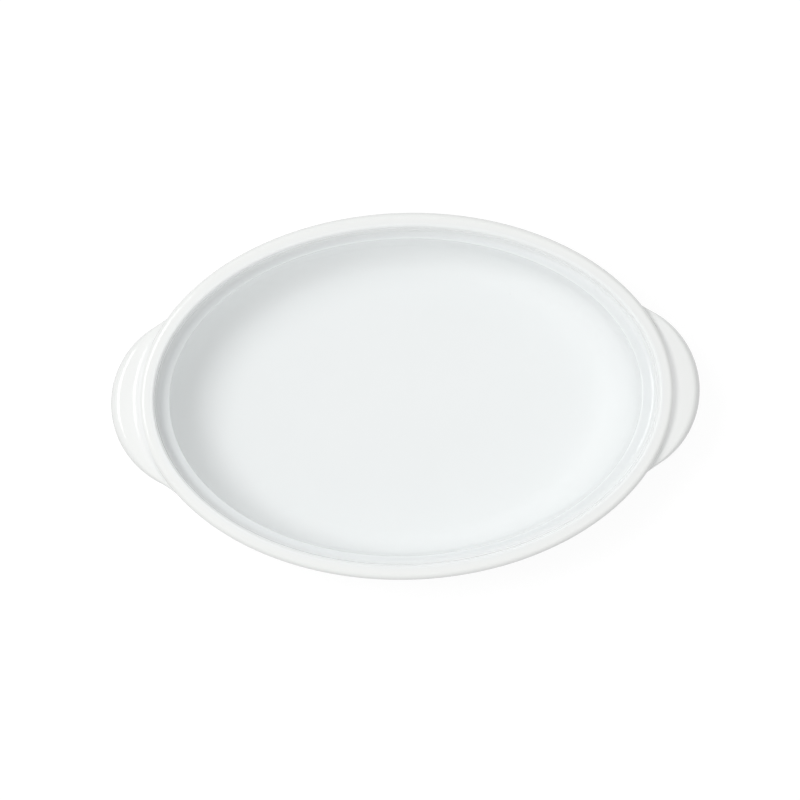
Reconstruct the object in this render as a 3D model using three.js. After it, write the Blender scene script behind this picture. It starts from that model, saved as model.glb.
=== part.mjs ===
// Oval porcelain cocotte: an open oval bowl with a lid ledge inside its lip and a lug handle at each end.
// Millimetres, +Z up, +X along the long axis. The origin is on the table under the middle of the bowl.
import * as THREE from "three";

// Bowl, outside
const RIM_LENGTH = 309;
const RIM_WIDTH = 212;
const HEIGHT = 56;
const WALL_DRAFT_DEGREES = 2;
const COLLAR_DEPTH = 21;
const COLLAR_EDGE_RADIUS = 3;
const BASE_RADIUS_SIDES = 17;
const BASE_RADIUS_ENDS = 24;

// Lip, and the lid ledge inside it
const LIP_THICKNESS = 8.4;
const LIP_OUTER_RADIUS = 3.2;
const LIP_INNER_RADIUS = 2.2;
const GALLERY_SPREAD = 0.5;
const LEDGE_DEPTH = 13;
const LEDGE_WIDTH_SIDES = 4.8;
const LEDGE_WIDTH_ENDS = 8.2;
const LEDGE_EDGE_RADIUS = 1.2;
const GALLERY_RADIUS = 3;

// Wall, floor and foot ring
const WALL_THICKNESS = 6.2;
const FLOOR_THICKNESS = 5.8;
const FLOOR_RADIUS_SIDES = 13;
const FLOOR_RADIUS_ENDS = 26;
const FOOT_HEIGHT = 2.2;
const FOOT_WIDTH = 5;
const FOOT_SETBACK = 3;
const FOOT_EDGE_RADIUS = 0.8;

// Lug handles
const HANDLE_REACH = 16.4;
const HANDLE_OUTLINE_RADIUS = 51.3;
const HANDLE_DROP = 3.9;
const HANDLE_THICKNESS = 8.5;
const HANDLE_TOP_FALL = 1;
const HANDLE_ROOT_SLOPE_DEGREES = 44;
const HANDLE_TOP_FILLET = 9.5;
const HANDLE_UNDER_FILLET = 3;
const HANDLE_NOSE_RADIUS = 5.2;
const HANDLE_NOSE_UNDER_RADIUS = 1.9;
const HANDLE_OUTLINE_BLEND = 4.2;
const HANDLE_END_REACH = 1.6;
const ROOT_LAND = 0.5;

// The slip joint between a handle and the bowl
const JOINT_GAP = 0.3;

// How finely the round surfaces are divided
const OVAL_SEGMENTS = 80;
const HANDLE_STATIONS = 27;
const ROOT_STEPS = 3;

// What follows from the values above
const halfLength = RIM_LENGTH / 2;
const halfWidth = RIM_WIDTH / 2;
const draft = Math.tan(THREE.MathUtils.degToRad(WALL_DRAFT_DEGREES));
const rootSlope = THREE.MathUtils.degToRad(HANDLE_ROOT_SLOPE_DEGREES);
const floorZ = FOOT_HEIGHT + FLOOR_THICKNESS;
const ledgeZ = HEIGHT - LEDGE_DEPTH;
const collarUnder = HEIGHT - COLLAR_DEPTH;
const lipMiddleZ = HEIGHT - LIP_OUTER_RADIUS;
const handleTop = HEIGHT - HANDLE_DROP;
const handleUnder = handleTop - HANDLE_THICKNESS;
const handleRootUnder = handleUnder - HANDLE_UNDER_FILLET;

// The directions of the two sides of a corner, and how much of each side its arc takes up.
function measuredCorner(spots, i, radius) {
  const point = spots[i];
  if (!radius) return { point, reach: 0 };
  const toBefore = spots[i - 1].clone().sub(point);
  const toAfter = spots[i + 1].clone().sub(point);
  const halfAngle = Math.abs(Math.atan2(toBefore.cross(toAfter), toBefore.dot(toAfter))) / 2;
  return { point, toBefore, toAfter, halfAngle, reach: radius / Math.tan(halfAngle) };
}

// Replaces one corner of an outline with an arc. Arcs that need more than the side between them
// share it in proportion to their needs.
function roundedCorner(corner, before, after, steps) {
  const { point, toBefore, toAfter, halfAngle, reach } = corner;
  const roomBefore = toBefore.length() * reach / (reach + before.reach);
  const roomAfter = toAfter.length() * reach / (reach + after.reach);
  const fitted = Math.min(reach, 0.99 * roomBefore, 0.99 * roomAfter);
  const radius = fitted * Math.tan(halfAngle);
  const start = toBefore.clone().setLength(fitted);
  const end = toAfter.clone().setLength(fitted);
  const middle = start.clone().add(end).setLength(radius / Math.sin(halfAngle));
  start.sub(middle);
  end.sub(middle);
  middle.add(point);
  const clockwise = start.cross(end) < 0;
  const arc = new THREE.EllipseCurve(
    middle.x, middle.y, radius, radius, start.angle(), end.angle(), clockwise,
  );
  return arc.getPoints(steps);
}

// An outline from corners of the form [across, z, radius, steps]. A corner without a radius stays sharp.
function roundedOutline(corners) {
  const spots = corners.map(([across, z]) => new THREE.Vector2(across, z));
  const measured = corners.map(([, , radius], i) => measuredCorner(spots, i, radius));
  return corners.flatMap(([, , radius, steps], i) => (
    radius ? roundedCorner(measured[i], measured[i - 1], measured[i + 1], steps) : [spots[i]]
  ));
}

// Section through the bowl, from the middle of the floor over the lip to the middle of the underside.
// The first number of each corner is its distance inward from the outside of the lip.
function bowlSection(halfSpan, ledgeWidth, floorRadius, baseRadius) {
  const gallery = LIP_THICKNESS + GALLERY_SPREAD;
  const innerTop = gallery + ledgeWidth;
  const innerFloor = innerTop + draft * (ledgeZ - floorZ);
  const outerTop = innerTop - WALL_THICKNESS;
  const outerBase = outerTop + draft * (collarUnder - FOOT_HEIGHT);
  const footOuter = outerBase + baseRadius + FOOT_SETBACK;
  const footInner = footOuter + FOOT_WIDTH;
  return roundedOutline([
    [halfSpan, floorZ],
    [innerFloor, floorZ, floorRadius, 8],
    [innerTop, ledgeZ, LEDGE_EDGE_RADIUS, 2],
    [gallery, ledgeZ, GALLERY_RADIUS, 2],
    [LIP_THICKNESS, HEIGHT, LIP_INNER_RADIUS, 5],
    [0, HEIGHT, LIP_OUTER_RADIUS, 5],
    [0, collarUnder, COLLAR_EDGE_RADIUS, 3],
    [outerTop, collarUnder, outerTop / 2, 4],
    [outerBase, FOOT_HEIGHT, baseRadius, 6],
    [footOuter, FOOT_HEIGHT, FOOT_EDGE_RADIUS, 1],
    [footOuter, 0, FOOT_EDGE_RADIUS, 1],
    [footInner, 0, FOOT_EDGE_RADIUS, 1],
    [footInner, FOOT_HEIGHT, FOOT_EDGE_RADIUS, 1],
    [halfSpan, FOOT_HEIGHT],
  ]);
}

function closedGeometry(vertices, triangles) {
  const geometry = new THREE.BufferGeometry();
  geometry.setAttribute("position", new THREE.Float32BufferAttribute(vertices, 3));
  geometry.setIndex(triangles);
  geometry.computeVertexNormals();
  return geometry;
}

// Joins rings of equal length with two triangles for each step along and around.
function ringTriangles(first, rings, around) {
  const triangles = [];
  for (let ring = 0; ring < rings - 1; ring += 1) {
    for (let i = 0; i < around; i += 1) {
      const a = first + ring * around + i;
      const b = first + ring * around + (i + 1) % around;
      triangles.push(a, a + around, b, b, a + around, b + around);
    }
  }
  return triangles;
}

// Lofts the bowl around its oval, from the section at the ends to the section at the sides and back.
function bowlGeometry() {
  const ends = bowlSection(halfLength, LEDGE_WIDTH_ENDS, FLOOR_RADIUS_ENDS, BASE_RADIUS_ENDS);
  const sides = bowlSection(halfWidth, LEDGE_WIDTH_SIDES, FLOOR_RADIUS_SIDES, BASE_RADIUS_SIDES);
  const last = ends.length - 1;
  const vertices = [];
  for (let ring = 1; ring < last; ring += 1) {
    for (let i = 0; i < OVAL_SEGMENTS; i += 1) {
      const turn = 2 * Math.PI * i / OVAL_SEGMENTS;
      const x = (halfLength - ends[ring].x) * Math.cos(turn);
      const y = (halfWidth - sides[ring].x) * Math.sin(turn);
      const z = THREE.MathUtils.lerp(sides[ring].y, ends[ring].y, Math.cos(turn) ** 2);
      vertices.push(x, y, z);
    }
  }
  const rings = last - 1;
  const triangles = ringTriangles(0, rings, OVAL_SEGMENTS);
  const floorMiddle = rings * OVAL_SEGMENTS;
  const underMiddle = floorMiddle + 1;
  const lowestRing = floorMiddle - OVAL_SEGMENTS;
  vertices.push(0, 0, floorZ, 0, 0, FOOT_HEIGHT);
  for (let i = 0; i < OVAL_SEGMENTS; i += 1) {
    const next = (i + 1) % OVAL_SEGMENTS;
    triangles.push(floorMiddle, i, next);
    triangles.push(underMiddle, lowestRing + next, lowestRing + i);
  }
  return closedGeometry(vertices, triangles);
}

// How far the handle stands out from the lip, square to the oval: a circular outline that
// runs into the oval through a soft blend.
function handleReach(turn) {
  const lip = new THREE.Vector2(halfLength * Math.cos(turn), halfWidth * Math.sin(turn));
  const outward = lipOutward(turn);
  const outlineMiddle = halfLength + HANDLE_REACH - HANDLE_OUTLINE_RADIUS;
  const fromMiddle = lip.sub(new THREE.Vector2(outlineMiddle, 0));
  const along = fromMiddle.dot(outward);
  const chord = along ** 2 - fromMiddle.lengthSq() + HANDLE_OUTLINE_RADIUS ** 2;
  const reach = Math.sqrt(Math.max(chord, 0)) - along;
  if (reach > HANDLE_OUTLINE_BLEND) return reach;
  return Math.max(reach + HANDLE_OUTLINE_BLEND, 0) ** 2 / (4 * HANDLE_OUTLINE_BLEND);
}

function lipOutward(turn) {
  return new THREE.Vector2(halfWidth * Math.cos(turn), halfLength * Math.sin(turn)).normalize();
}

// The angle around the oval at which the handle has thinned to its end.
function handleEndTurn() {
  let inside = 0;
  let outside = Math.PI / 2;
  for (let i = 0; i < 40; i += 1) {
    const turn = (inside + outside) / 2;
    if (handleReach(turn) > HANDLE_END_REACH) inside = turn;
    else outside = turn;
  }
  return inside;
}

// How far out from the lip the joint face of a handle lies at a height: it follows the round of the lip.
function jointFace(z) {
  const above = Math.max(z - lipMiddleZ, 0);
  return Math.sqrt((LIP_OUTER_RADIUS + JOINT_GAP) ** 2 - above ** 2) - LIP_OUTER_RADIUS;
}

// A place beside the round of the lip, at a distance from it and where its face has that slope.
function besideLip(distance, slope) {
  const radius = LIP_OUTER_RADIUS + distance;
  return [radius * Math.sin(slope) - LIP_OUTER_RADIUS, lipMiddleZ + radius * Math.cos(slope)];
}

// Section through the middle of a handle. The first number is the distance outward from the lip.
function handleSection() {
  const root = JOINT_GAP + ROOT_LAND;
  const [crestOut, crestZ] = besideLip(root, rootSlope);
  const slopeFoot = crestOut + (crestZ - handleTop) / Math.tan(rootSlope);
  const joint = Array.from({ length: ROOT_STEPS + 1 }, (_, step) => (
    besideLip(JOINT_GAP, THREE.MathUtils.lerp(rootSlope, Math.PI / 2, step / ROOT_STEPS))
  ));
  return roundedOutline([
    [JOINT_GAP, handleRootUnder],
    [root, handleRootUnder],
    [root, handleUnder, HANDLE_UNDER_FILLET, 3],
    [HANDLE_REACH, handleUnder, HANDLE_NOSE_UNDER_RADIUS, 3],
    [HANDLE_REACH, handleTop - HANDLE_TOP_FALL, HANDLE_NOSE_RADIUS, 6],
    [slopeFoot, handleTop, HANDLE_TOP_FILLET, 5],
    [crestOut, crestZ],
    ...joint,
  ]);
}

// Lofts a handle along the lip. Towards both ends its section draws in to the lip and thins.
function handleGeometry() {
  const section = handleSection();
  const tipZ = handleUnder + HANDLE_NOSE_UNDER_RADIUS;
  const endTurn = handleEndTurn();
  const vertices = [];
  for (let station = 0; station < HANDLE_STATIONS; station += 1) {
    const turn = -endTurn * Math.cos(Math.PI * station / (HANDLE_STATIONS - 1));
    const outward = lipOutward(turn);
    const share = (handleReach(turn) - JOINT_GAP) / (HANDLE_REACH - JOINT_GAP);
    const thinning = Math.sqrt(share * (2 - share));
    for (const point of section) {
      const z = tipZ + (point.y - tipZ) * thinning;
      const out = jointFace(z) + (point.x - jointFace(point.y)) * share;
      const x = halfLength * Math.cos(turn) + outward.x * out;
      const y = halfWidth * Math.sin(turn) + outward.y * out;
      vertices.push(x, y, z);
    }
  }
  const around = section.length;
  const lastStation = (HANDLE_STATIONS - 1) * around;
  const triangles = ringTriangles(0, HANDLE_STATIONS, around);
  for (const [a, b, c] of THREE.ShapeUtils.triangulateShape(section, [])) {
    triangles.push(a, b, c, lastStation + c, lastStation + b, lastStation + a);
  }
  return closedGeometry(vertices, triangles);
}

const glaze = new THREE.MeshStandardMaterial({ color: 0xeef1f0, roughness: 0.15, metalness: 0 });

const bowl = new THREE.Mesh(bowlGeometry(), glaze);
bowl.name = "bowl";

const rightHandle = new THREE.Mesh(handleGeometry(), glaze);
rightHandle.name = "right_handle";

const leftHandle = new THREE.Mesh(handleGeometry().rotateZ(Math.PI), glaze);
leftHandle.name = "left_handle";

const cocotte = new THREE.Group();
cocotte.name = "oval_cocotte";
cocotte.add(bowl, leftHandle, rightHandle);

export default cocotte;
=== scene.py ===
"""Looks of the oval cocotte: glazed white porcelain on a pale floor, seen from above.

Metres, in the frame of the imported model: +X along the long axis, +Z up, the table at z = 0.
"""
import math

import bpy
from mathutils import Matrix, Vector


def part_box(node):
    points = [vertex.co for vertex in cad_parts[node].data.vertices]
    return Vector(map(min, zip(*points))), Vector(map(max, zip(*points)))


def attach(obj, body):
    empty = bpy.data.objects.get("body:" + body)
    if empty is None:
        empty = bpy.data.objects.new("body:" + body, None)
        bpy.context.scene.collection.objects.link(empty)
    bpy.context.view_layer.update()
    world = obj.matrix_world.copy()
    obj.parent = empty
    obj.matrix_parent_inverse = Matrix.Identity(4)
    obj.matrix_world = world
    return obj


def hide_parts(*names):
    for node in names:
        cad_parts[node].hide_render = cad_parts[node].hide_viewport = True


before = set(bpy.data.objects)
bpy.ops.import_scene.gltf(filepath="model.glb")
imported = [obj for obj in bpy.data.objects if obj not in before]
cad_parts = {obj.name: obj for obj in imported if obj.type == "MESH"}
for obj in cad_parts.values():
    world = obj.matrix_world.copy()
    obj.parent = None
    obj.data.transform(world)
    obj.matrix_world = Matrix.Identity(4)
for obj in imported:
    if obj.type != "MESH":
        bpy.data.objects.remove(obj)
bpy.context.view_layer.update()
MM = 0.001

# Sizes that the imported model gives
BOWL_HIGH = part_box("bowl")[1]
HANDLE_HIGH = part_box("right_handle")[1]
HALF_LENGTH = BOWL_HIGH[0]
HALF_WIDTH = BOWL_HIGH[1]
HEIGHT = BOWL_HIGH[2]
HANDLE_REACH = HANDLE_HIGH[0] - HALF_LENGTH

# Lip, and the lid ledge inside it
LIP_THICKNESS = 8.4 * MM
LIP_OUTER_RADIUS = 3.2 * MM
LIP_INNER_RADIUS = 1.5 * MM
GALLERY_SPREAD = 0.5 * MM
GALLERY_RADIUS = 3 * MM
LEDGE_DEPTH = 13 * MM
LEDGE_WIDTH_SIDES = 4.8 * MM
LEDGE_WIDTH_ENDS = 8.2 * MM
LEDGE_EDGE_RADIUS = 1.2 * MM

# Wall, floor and foot ring
WALL_THICKNESS = 6.2 * MM
WALL_DRAFT = math.tan(math.radians(2))
COLLAR_DEPTH = 21 * MM
COLLAR_EDGE_RADIUS = 3 * MM
FLOOR_THICKNESS = 5.8 * MM
FLOOR_RADIUS_SIDES = 13 * MM
FLOOR_RADIUS_ENDS = 26 * MM
BASE_RADIUS_SIDES = 17 * MM
BASE_RADIUS_ENDS = 24 * MM
FOOT_HEIGHT = 2.2 * MM
FOOT_WIDTH = 5 * MM
FOOT_SETBACK = 3 * MM
FOOT_EDGE_RADIUS = 0.8 * MM

# Lug handles
HANDLE_OUTLINE_RADIUS = 51.3 * MM
HANDLE_OUTLINE_BLEND = 4.2 * MM
HANDLE_LEAST_REACH = 0.02 * MM
HANDLE_DROP = 3.9 * MM
HANDLE_THICKNESS = 8.5 * MM
HANDLE_TOP_FALL = 0.5 * MM
HANDLE_ROOT_SLOPE = math.radians(45)
HANDLE_TOP_FILLET = 5.5 * MM
HANDLE_UNDER_FILLET = 3 * MM
HANDLE_ROOT_DEPTH = 3 * MM
HANDLE_ROOT_SINK = 0.04 * MM
HANDLE_NOSE_RADIUS = 5.6 * MM
HANDLE_NOSE_UNDER_RADIUS = 1.9 * MM

# Heights that follow from these sizes
FLOOR_Z = FOOT_HEIGHT + FLOOR_THICKNESS
LEDGE_Z = HEIGHT - LEDGE_DEPTH
LIP_MIDDLE_Z = HEIGHT - LIP_OUTER_RADIUS
COLLAR_UNDER = HEIGHT - COLLAR_DEPTH
HANDLE_TOP = HEIGHT - HANDLE_DROP
HANDLE_UNDER = HANDLE_TOP - HANDLE_THICKNESS
ROOT_UNDER = HANDLE_UNDER - HANDLE_UNDER_FILLET

# How finely the round surfaces are divided
OVAL_SEGMENTS = 288
ARC_STEPS = 8
FLAT_STOPS = (0.03, 0.2, 0.5, 0.8, 0.97)
SAME_PLACE = 0.001 * MM

# How the glaze lies, from thin over an edge to pooled in a hollow; the same values also paint shade on the
# ledge and light on the gallery wall and the handle roots
THIN_AND_PAINTED_LIGHT = -1
THIN_ON_ROUND = -0.5
THIN_ON_NOSE = -0.3
EVEN = 0
POOLED_UNDER = 0.8
POOLED_AND_PAINTED_SHADE = 1

# Glaze: colours, bare foot, clouds, specks, gloss and ripple
RIM_COLOUR = (0.908, 0.92, 0.907)
# The inside colour is a little darker and cooler than the rim: a painted tint of the light bounced inside
# the mouth
INSIDE_COLOUR_AND_PAINTED_BOUNCE = (0.888, 0.908, 0.909)
# Pool tint: greys pooled glaze, and on the ledge it is painted shade
POOL_AND_PAINTED_SHADE_TINT = (0.945, 0.953, 0.957)
# Edge colour: lighter thin glaze over edges, and painted light on the gallery wall and the handle roots
EDGE_AND_PAINTED_LIGHT_COLOUR = (0.945, 0.957, 0.953)
BARE_COLOUR = (0.78, 0.76, 0.71)
BARE_HEIGHT = (0.15 * MM, 0.3 * MM)
BARE_ROUGHNESS = 0.7
CLOUD_SIZE = 60 * MM
CLOUD_DETAIL = 2
CLOUD_RANGE = (0.3, 0.7)
CLOUD_SHARE = 0.12
SPECK_SPACING = 26 * MM
SPECK_SIZE = 0.35 * MM
SPECK_SHARE = 0.35
SPECK_COLOUR = (0.35, 0.33, 0.3)
RIM_ROUGHNESS = 0.09
SATIN_ROUGHNESS = 0.5
ROUGHNESS_CHANGE = 0.02
RIM_GLOSS = 0.5
SATIN_GLOSS = 0.25
SATIN_FADE = 4 * MM
LIP_SATIN = 0.8
RIPPLE_SIZE = 9 * MM
RIPPLE_DETAIL = 1
RIPPLE_HEIGHT = 0.02 * MM
RIPPLE_STRENGTH = 0.12
GLAZE_IOR = 1.5

# Photograph: image size, the dish in it and where the camera stood
IMAGE_SIZE = 800
METRES_PER_PIXEL = 0.5765 * MM
RIM_MIDDLE_PIXEL = (408.2, 395.4)
ROLL = math.radians(2.2)
LEAN_LEFT = math.radians(3.5)
LEAN_FRONT = math.radians(3.5)
CAMERA_DISTANCE = 1.4
SENSOR_WIDTH = 36.0

# Room: its level, what it gains along an axis and to both sides of it, and how dim it is near the floor
ROOM_LEVEL = 0.42
ROOM_SLANT = (-0.06, -0.02, 0.2)
ROOM_LOBES = (0, 0.65, -0.1)
HORIZON_HEIGHT = 0.3
HORIZON_SHARE = 0.4

# Softboxes: name, azimuth from +X and zenith in degrees, distance, width, height, power
SOFTBOXES = (
    ("key_softbox", 160, 34, 3.0, 1.6, 1.3, 32.0),
    ("fill_softbox", 4, 34, 3.0, 0.9, 0.5, 1.2),
    ("front_softbox", 265, 16, 1.25, 1.0, 0.9, 0.7),
)

# Floor: half its width, the grey that lights the dish, and the grey and the glow that are seen
FLOOR_HALF = 4.0
FLOOR_BOUNCE = (0.35, 0.35, 0.35)
FLOOR_SHADE = (0.2, 0.2, 0.2)
FLOOR_GLOW = 0.86


def rounded_outline(corners):
    """Points (across, z, glaze and painted shading) along corners (across, z, radius, glaze and painted
    shading before and after the corner).

    Radius 0 keeps a corner sharp.
    """
    spots = [Vector(corner[:2]) for corner in corners]
    runs = []
    for i, (across, z, radius, glaze_and_painted_shading, glaze_and_painted_shading_after) in enumerate(corners):
        if radius == 0:
            runs.append([(across, z, glaze_and_painted_shading)])
            continue
        before = (spots[i - 1] - spots[i]).normalized()
        after = (spots[i + 1] - spots[i]).normalized()
        half = before.angle(after) / 2
        middle = spots[i] + (before + after).normalized() * (radius / math.sin(half))
        start = spots[i] + before * (radius / math.tan(half)) - middle
        sweep = start.angle_signed(spots[i] + after * (radius / math.tan(half)) - middle)
        run = []
        for step in range(ARC_STEPS + 1):
            share = step / ARC_STEPS
            spot = middle + Matrix.Rotation(-sweep * share, 2) @ start
            run.append((spot.x, spot.y, glaze_and_painted_shading + (glaze_and_painted_shading_after - glaze_and_painted_shading) * share))
        runs.append(run)
    points = list(runs[0])
    for run in runs[1:]:
        start = Vector(points[-1])
        end = Vector(run[0])
        if (end.xy - start.xy).length < SAME_PLACE:
            points += run[1:]
            continue
        points += [tuple(start.lerp(end, stop)) for stop in FLAT_STOPS]
        points += run
    return points


def bowl_section(half_span, ledge_width, floor_radius, base_radius):
    """From the middle of the floor over the lip to the middle of the underside, inward from the lip."""
    gallery = LIP_THICKNESS + GALLERY_SPREAD
    inner_top = gallery + ledge_width
    inner_floor = inner_top + WALL_DRAFT * (LEDGE_Z - FLOOR_Z)
    outer_top = inner_top - WALL_THICKNESS
    outer_base = outer_top + WALL_DRAFT * (COLLAR_UNDER - FOOT_HEIGHT)
    foot_outer = outer_base + base_radius + FOOT_SETBACK
    foot_inner = foot_outer + FOOT_WIDTH
    return rounded_outline([
        (half_span, FLOOR_Z, 0, EVEN, EVEN),
        (inner_floor, FLOOR_Z, floor_radius, EVEN, EVEN),
        # The ledge is painted darker here, as painted shade under the lip
        (inner_top, LEDGE_Z, LEDGE_EDGE_RADIUS, EVEN, POOLED_AND_PAINTED_SHADE),
        # The gallery wall above the ledge is painted lighter, as painted light
        (gallery, LEDGE_Z, GALLERY_RADIUS, POOLED_AND_PAINTED_SHADE, THIN_AND_PAINTED_LIGHT),
        (LIP_THICKNESS, HEIGHT, LIP_INNER_RADIUS, THIN_AND_PAINTED_LIGHT, EVEN),
        (0, HEIGHT, LIP_OUTER_RADIUS, EVEN, EVEN),
        (0, COLLAR_UNDER, COLLAR_EDGE_RADIUS, EVEN, THIN_ON_ROUND),
        (outer_top, COLLAR_UNDER, outer_top / 2, POOLED_UNDER, POOLED_UNDER),
        (outer_base, FOOT_HEIGHT, base_radius, EVEN, EVEN),
        (foot_outer, FOOT_HEIGHT, FOOT_EDGE_RADIUS, POOLED_AND_PAINTED_SHADE, POOLED_AND_PAINTED_SHADE),
        (foot_outer, 0, FOOT_EDGE_RADIUS, THIN_AND_PAINTED_LIGHT, THIN_AND_PAINTED_LIGHT),
        (foot_inner, 0, FOOT_EDGE_RADIUS, THIN_AND_PAINTED_LIGHT, THIN_AND_PAINTED_LIGHT),
        (foot_inner, FOOT_HEIGHT, FOOT_EDGE_RADIUS, POOLED_AND_PAINTED_SHADE, EVEN),
        (half_span, FOOT_HEIGHT, 0, EVEN, EVEN),
    ])


def ring_faces(rings, around):
    """Quads between neighbouring closed rings of equal length."""
    return [
        (ring * around + i, (ring + 1) * around + i, (ring + 1) * around + (i + 1) % around,
         ring * around + (i + 1) % around)
        for ring in range(rings - 1)
        for i in range(around)
    ]


def make_piece(name, vertices, faces, glaze_and_painted_shading, inside):
    """A smooth mesh that carries how thick the glaze lies, with painted shade and light in the same values,
    and how far a point is inside the mouth.
    """
    mesh = bpy.data.meshes.new(name)
    mesh.from_pydata(vertices, [], faces)
    mesh.polygons.foreach_set("use_smooth", [True] * len(mesh.polygons))
    for title, values in (("glaze_and_painted_shading", glaze_and_painted_shading), ("inside", inside)):
        layer = mesh.attributes.new(title, "FLOAT", "POINT")
        layer.data.foreach_set("value", values)
    mesh.update()
    mesh.validate()
    piece = bpy.data.objects.new(name, mesh)
    bpy.context.scene.collection.objects.link(piece)
    return piece


def make_bowl():
    ends = bowl_section(HALF_LENGTH, LEDGE_WIDTH_ENDS, FLOOR_RADIUS_ENDS, BASE_RADIUS_ENDS)
    sides = bowl_section(HALF_WIDTH, LEDGE_WIDTH_SIDES, FLOOR_RADIUS_SIDES, BASE_RADIUS_SIDES)
    vertices = []
    glaze_and_painted_shading = []
    inside = []
    # Falls from 1 to 0 across the inner half of the lip and stays 0 on the outside
    depth = 1.0
    for end, side in zip(ends[1:-1], sides[1:-1]):
        depth = min(depth, max(0.0, 2 * end[0] / LIP_THICKNESS - 1))
        for i in range(OVAL_SEGMENTS):
            turn = math.tau * i / OVAL_SEGMENTS
            along = math.cos(turn)
            x = (HALF_LENGTH - end[0]) * along
            y = (HALF_WIDTH - side[0]) * math.sin(turn)
            vertices.append((x, y, side[1] + (end[1] - side[1]) * along ** 2))
            glaze_and_painted_shading.append(end[2])
            inside.append(depth)
    rings = len(ends) - 2
    faces = ring_faces(rings, OVAL_SEGMENTS)
    vertices += [(0, 0, FLOOR_Z), (0, 0, FOOT_HEIGHT)]
    glaze_and_painted_shading += [EVEN, EVEN]
    inside += [1.0, 0.0]
    floor_middle = rings * OVAL_SEGMENTS
    lowest = floor_middle - OVAL_SEGMENTS
    for i in range(OVAL_SEGMENTS):
        after = (i + 1) % OVAL_SEGMENTS
        faces.append((floor_middle, i, after))
        faces.append((floor_middle + 1, lowest + after, lowest + i))
    return make_piece("glazed_bowl", vertices, faces, glaze_and_painted_shading, inside)


def lip_outward(turn):
    return Vector((HALF_WIDTH * math.cos(turn), HALF_LENGTH * math.sin(turn))).normalized()


def handle_reach(turn):
    """How far the handle stands out from the lip: a circular outline with a soft blend into the oval."""
    lip = Vector((HALF_LENGTH * math.cos(turn), HALF_WIDTH * math.sin(turn)))
    from_middle = lip - Vector((HALF_LENGTH + HANDLE_REACH - HANDLE_OUTLINE_RADIUS, 0))
    along = from_middle.dot(lip_outward(turn))
    chord = along ** 2 - from_middle.length_squared + HANDLE_OUTLINE_RADIUS ** 2
    reach = math.sqrt(max(chord, 0)) - along
    if reach > HANDLE_OUTLINE_BLEND:
        return reach
    return max(reach + HANDLE_OUTLINE_BLEND, 0) ** 2 / (4 * HANDLE_OUTLINE_BLEND)


def lip_face(z):
    """How far out the face of the lip is at a height, from its widest place."""
    above = max(z - LIP_MIDDLE_Z, 0)
    return math.sqrt(LIP_OUTER_RADIUS ** 2 - above ** 2) - LIP_OUTER_RADIUS


def handle_section():
    """Through the middle of a handle, outward from the lip, with its root inside the lip and the collar."""
    meet_radius = LIP_OUTER_RADIUS - HANDLE_ROOT_SINK
    meet_out = meet_radius * math.sin(HANDLE_ROOT_SLOPE) - LIP_OUTER_RADIUS
    meet_z = LIP_MIDDLE_Z + meet_radius * math.cos(HANDLE_ROOT_SLOPE)
    foot_out = meet_out + (meet_z - HANDLE_TOP) / math.tan(HANDLE_ROOT_SLOPE)
    return rounded_outline([
        (-HANDLE_ROOT_DEPTH, ROOT_UNDER, 0, EVEN, EVEN),
        (0, ROOT_UNDER, 0, EVEN, EVEN),
        (0, HANDLE_UNDER, HANDLE_UNDER_FILLET, POOLED_UNDER, POOLED_UNDER),
        (HANDLE_REACH, HANDLE_UNDER, HANDLE_NOSE_UNDER_RADIUS, THIN_ON_ROUND, THIN_ON_ROUND),
        (HANDLE_REACH, HANDLE_TOP - HANDLE_TOP_FALL, HANDLE_NOSE_RADIUS, THIN_ON_NOSE, EVEN),
        # The root fillet of the handle is painted lighter, as painted light on its shaded slope
        (foot_out, HANDLE_TOP, HANDLE_TOP_FILLET, THIN_ON_NOSE, THIN_AND_PAINTED_LIGHT),
        (meet_out, meet_z, 0, THIN_AND_PAINTED_LIGHT, THIN_AND_PAINTED_LIGHT),
        (-HANDLE_ROOT_DEPTH, meet_z, 0, EVEN, EVEN),
    ])


def make_handle(name, side):
    """A handle at the right (side 1) or left (side -1) end: its section thins and flattens into the oval."""
    section = handle_section()
    tip_z = HANDLE_UNDER + HANDLE_NOSE_UNDER_RADIUS
    quarter = OVAL_SEGMENTS // 4
    turns = [math.tau * i / OVAL_SEGMENTS for i in range(-quarter, quarter + 1)]
    turns = [turn for turn in turns if handle_reach(turn) > HANDLE_LEAST_REACH]
    vertices = []
    glaze_and_painted_shading = []
    for turn in turns:
        outward = lip_outward(turn)
        share = handle_reach(turn) / HANDLE_REACH
        thinning = math.sqrt(share * (2 - share))
        for out, high, thickness_and_painted_shading in section:
            stand = out - lip_face(high)
            z = tip_z + (high - tip_z) * thinning
            reach = lip_face(z) + (stand * share if stand > 0 else stand)
            x = HALF_LENGTH * math.cos(turn) + outward.x * reach
            y = HALF_WIDTH * math.sin(turn) + outward.y * reach
            vertices.append((side * x, side * y, z))
            glaze_and_painted_shading.append(thickness_and_painted_shading)
    around = len(section)
    faces = ring_faces(len(turns), around)
    faces.append(tuple(range(around)))
    faces.append(tuple(reversed(range((len(turns) - 1) * around, len(turns) * around))))
    return make_piece(name, vertices, faces, glaze_and_painted_shading, [0.0] * len(vertices))


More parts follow.
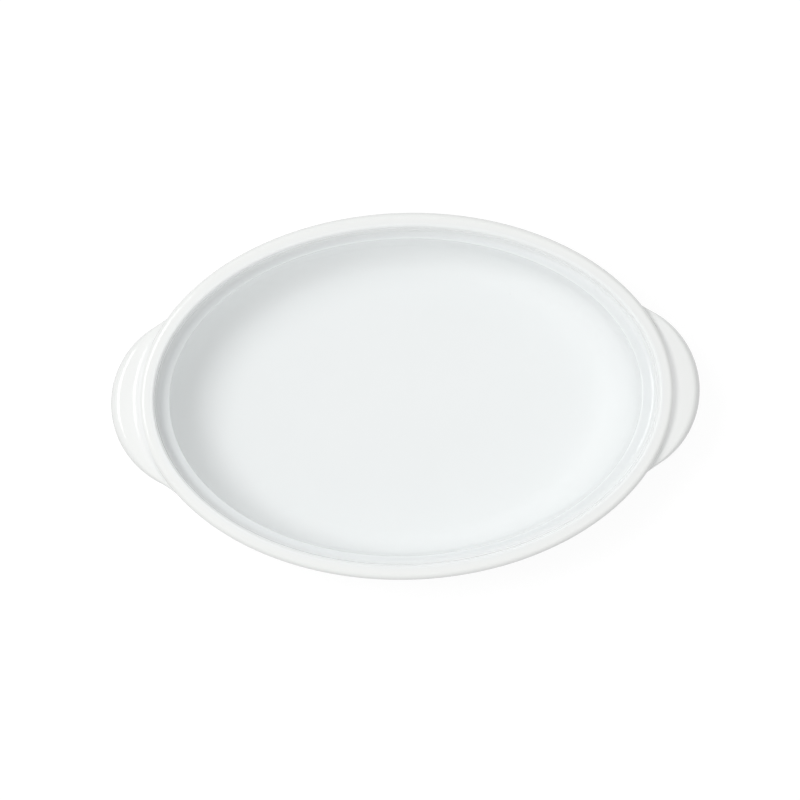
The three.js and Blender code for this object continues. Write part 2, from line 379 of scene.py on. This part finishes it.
class Graph:
    """The node tree of a material or a world; a value given to it is a number, a colour or a socket."""

    def __init__(self, owner):
        owner.use_nodes = True
        self.nodes = owner.node_tree.nodes
        self.links = owner.node_tree.links
        self.nodes.clear()

    def node(self, kind, inputs=(), **settings):
        """A new node with its settings, and its inputs as pairs of a socket's name or number and a value."""
        made = self.nodes.new("ShaderNode" + kind)
        for setting, value in settings.items():
            setattr(made, setting, value)
        for socket, value in inputs:
            if isinstance(value, bpy.types.NodeSocket):
                self.links.new(value, made.inputs[socket])
            else:
                made.inputs[socket].default_value = value
        return made

    def attribute(self, name):
        return self.node("Attribute", attribute_name=name).outputs["Fac"]

    def height(self, vector):
        return self.node("SeparateXYZ", [(0, vector)]).outputs["Z"]

    def remap(self, value, low, high, to_low, to_high):
        """Clamped from low..high to to_low..to_high."""
        return self.node("MapRange", [
            ("Value", value), ("From Min", low), ("From Max", high), ("To Min", to_low), ("To Max", to_high),
        ]).outputs["Result"]

    def calculate(self, operation, first, second):
        return self.node("Math", [(0, first), (1, second)], operation=operation).outputs[0]

    def dot(self, vector, weights):
        return self.node("VectorMath", [(0, vector), (1, weights)], operation="DOT_PRODUCT").outputs["Value"]

    def blend(self, share, first, second, mode="MIX"):
        colours = [(*colour, 1) if isinstance(colour, tuple) else colour for colour in (first, second)]
        return self.node("MixRGB", [
            ("Fac", share), ("Color1", colours[0]), ("Color2", colours[1]),
        ], blend_type=mode).outputs["Color"]

    def noise(self, place, size, detail):
        return self.node("TexNoise", [
            ("Vector", place), ("Scale", 1 / size), ("Detail", detail),
        ]).outputs["Fac"]


def glaze_material():
    """White glaze: cooler inside as a painted tint of bounced light, greyer where it pools and on the ledge
    as painted shade, lighter over the edges and as painted light on the gallery wall and handle roots, bare
    under the foot ring.
    """
    material = bpy.data.materials.new("white_glaze")
    graph = Graph(material)
    place = graph.node("TexCoord").outputs["Object"]
    height = graph.height(place)
    thickness_and_painted_shading = graph.attribute("glaze_and_painted_shading")
    inside = graph.attribute("inside")
    clouds = graph.noise(place, CLOUD_SIZE, CLOUD_DETAIL)
    bare = graph.remap(height, *BARE_HEIGHT, 1, 0)

    # Cooler inside: a painted tint of bounced light
    colour = graph.blend(inside, RIM_COLOUR, INSIDE_COLOUR_AND_PAINTED_BOUNCE)
    # Darker where the glaze pools, and on the ledge as painted shade
    colour = graph.blend(graph.remap(thickness_and_painted_shading, EVEN, POOLED_AND_PAINTED_SHADE, 0, 1), colour, POOL_AND_PAINTED_SHADE_TINT, "MULTIPLY")
    # Lighter over thin edges, and as painted light on the gallery wall and the handle roots
    colour = graph.blend(graph.remap(thickness_and_painted_shading, EVEN, THIN_AND_PAINTED_LIGHT, 0, 1), colour, EDGE_AND_PAINTED_LIGHT_COLOUR)
    colour = graph.blend(graph.remap(clouds, *CLOUD_RANGE, 0, CLOUD_SHARE), colour, POOL_AND_PAINTED_SHADE_TINT, "MULTIPLY")
    cells = graph.node("TexVoronoi", [("Vector", place), ("Scale", 1 / SPECK_SPACING)])
    speck = graph.remap(cells.outputs["Distance"], 0, SPECK_SIZE / SPECK_SPACING, SPECK_SHARE, 0)
    colour = graph.blend(speck, colour, SPECK_COLOUR)
    colour = graph.blend(bare, colour, BARE_COLOUR)

    below_ledge = graph.remap(height, LEDGE_Z - SATIN_FADE, LEDGE_Z, 1, 0)
    lip_edge = graph.remap(height, LEDGE_Z + GALLERY_RADIUS, HEIGHT - LIP_INNER_RADIUS, 0, LIP_SATIN)
    satin = graph.calculate("MULTIPLY", inside, graph.calculate("MAXIMUM", below_ledge, lip_edge))
    change = graph.remap(clouds, *CLOUD_RANGE, -ROUGHNESS_CHANGE, ROUGHNESS_CHANGE)
    roughness = graph.calculate("ADD", graph.remap(satin, 0, 1, RIM_ROUGHNESS, SATIN_ROUGHNESS), change)
    roughness = graph.calculate("MAXIMUM", roughness, graph.remap(bare, 0, 1, 0, BARE_ROUGHNESS))

    ripple = graph.node("Bump", [
        ("Strength", RIPPLE_STRENGTH),
        ("Distance", RIPPLE_HEIGHT),
        ("Height", graph.noise(place, RIPPLE_SIZE, RIPPLE_DETAIL)),
    ])
    shader = graph.node("BsdfPrincipled", [
        ("Base Color", colour),
        ("Roughness", roughness),
        ("Specular IOR Level", graph.remap(satin, 0, 1, RIM_GLOSS, SATIN_GLOSS)),
        ("Normal", ripple.outputs["Normal"]),
        ("IOR", GLAZE_IOR),
    ])
    graph.node("OutputMaterial", [(0, shader.outputs[0])])
    return material


def floor_material():
    """A floor that looks white with a soft shadow, in reflections too, and lights the dish as a grey one."""
    material = bpy.data.materials.new("studio_floor")
    graph = Graph(material)
    bounce = graph.node("BsdfDiffuse", [("Color", (*FLOOR_BOUNCE, 1))])
    shade = graph.node("BsdfDiffuse", [("Color", (*FLOOR_SHADE, 1))])
    glow = graph.node("Emission", [("Strength", FLOOR_GLOW)])
    bright = graph.node("AddShader", [(0, shade.outputs[0]), (1, glow.outputs[0])])
    path = graph.node("LightPath").outputs
    seen = graph.calculate("MAXIMUM", path["Is Camera Ray"], path["Is Glossy Ray"])
    seen = graph.calculate("MAXIMUM", seen, path["Is Transmission Ray"])
    mix = graph.node("MixShader", [(0, seen), (1, bounce.outputs[0]), (2, bright.outputs[0])])
    graph.node("OutputMaterial", [(0, mix.outputs[0])])
    return material


def make_floor():
    half = FLOOR_HALF
    corners = [(-half, -half, 0), (half, -half, 0), (half, half, 0), (-half, half, 0)]
    mesh = bpy.data.meshes.new("floor")
    mesh.from_pydata(corners, [], [(0, 1, 2, 3)])
    floor = bpy.data.objects.new("floor", mesh)
    bpy.context.scene.collection.objects.link(floor)
    floor.data.materials.append(floor_material())


def aim(thing, position, target, up):
    """Places a camera or a lamp so that it looks from position to target."""
    back = (position - target).normalized()
    right = up.cross(back).normalized()
    above = back.cross(right)
    thing.matrix_world = Matrix((
        (right.x, above.x, back.x, position.x),
        (right.y, above.y, back.y, position.y),
        (right.z, above.z, back.z, position.z),
        (0, 0, 0, 1),
    ))


def make_camera():
    data = bpy.data.cameras.new("camera")
    data.sensor_width = SENSOR_WIDTH
    data.lens = SENSOR_WIDTH * CAMERA_DISTANCE / (IMAGE_SIZE * METRES_PER_PIXEL)
    camera = bpy.data.objects.new("camera", data)
    bpy.context.scene.collection.objects.link(camera)
    up = Vector((math.sin(ROLL), math.cos(ROLL), 0))
    right = Vector((math.cos(ROLL), -math.sin(ROLL), 0))
    across = (IMAGE_SIZE / 2 - RIM_MIDDLE_PIXEL[0]) * METRES_PER_PIXEL
    down = (IMAGE_SIZE / 2 - RIM_MIDDLE_PIXEL[1]) * METRES_PER_PIXEL
    target = Vector((0, 0, LIP_MIDDLE_Z)) + right * across - up * down
    lean = Vector((-math.tan(LEAN_LEFT), -math.tan(LEAN_FRONT), 1)).normalized()
    aim(camera, target + lean * CAMERA_DISTANCE, target, up)
    bpy.context.scene.camera = camera


def make_softbox(name, azimuth, zenith, distance, width, height, power):
    """A rectangular lamp that looks at the middle of the mouth."""
    data = bpy.data.lights.new(name, "AREA")
    data.shape = "RECTANGLE"
    data.size = width
    data.size_y = height
    data.energy = power
    lamp = bpy.data.objects.new(name, data)
    bpy.context.scene.collection.objects.link(lamp)
    flat = distance * math.sin(math.radians(zenith))
    target = Vector((0, 0, HEIGHT))
    position = target + Vector((
        flat * math.cos(math.radians(azimuth)),
        flat * math.sin(math.radians(azimuth)),
        distance * math.cos(math.radians(zenith)),
    ))
    aim(lamp, position, target, Vector((0, 0, 1)))


def make_light():
    world = bpy.data.worlds.new("studio")
    graph = Graph(world)
    direction = graph.node("TexCoord").outputs["Generated"]
    squared = graph.node("VectorMath", [(0, direction), (1, direction)], operation="MULTIPLY")
    slant = graph.dot(direction, ROOM_SLANT)
    lobes = graph.dot(squared.outputs["Vector"], ROOM_LOBES)
    level = graph.calculate("ADD", graph.calculate("ADD", slant, lobes), ROOM_LEVEL)
    horizon = graph.remap(graph.height(direction), 0, HORIZON_HEIGHT, HORIZON_SHARE, 1)
    room = graph.node("Background", [
        ("Color", (1, 1, 1, 1)),
        ("Strength", graph.calculate("MULTIPLY", level, horizon)),
    ])
    graph.node("OutputWorld", [(0, room.outputs[0])])
    bpy.context.scene.world = world
    for softbox in SOFTBOXES:
        make_softbox(*softbox)


glaze_and_painted_shading = glaze_material()
bowl = make_bowl()
left_handle = make_handle("left_lug", -1)
right_handle = make_handle("right_lug", 1)
for piece, node in ((bowl, "bowl"), (left_handle, "left_handle"), (right_handle, "right_handle")):
    piece.data.materials.append(glaze_and_painted_shading)
    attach(piece, "root")
    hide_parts(node)

make_floor()
make_light()
make_camera()
bpy.context.scene.view_settings.view_transform = "Standard"
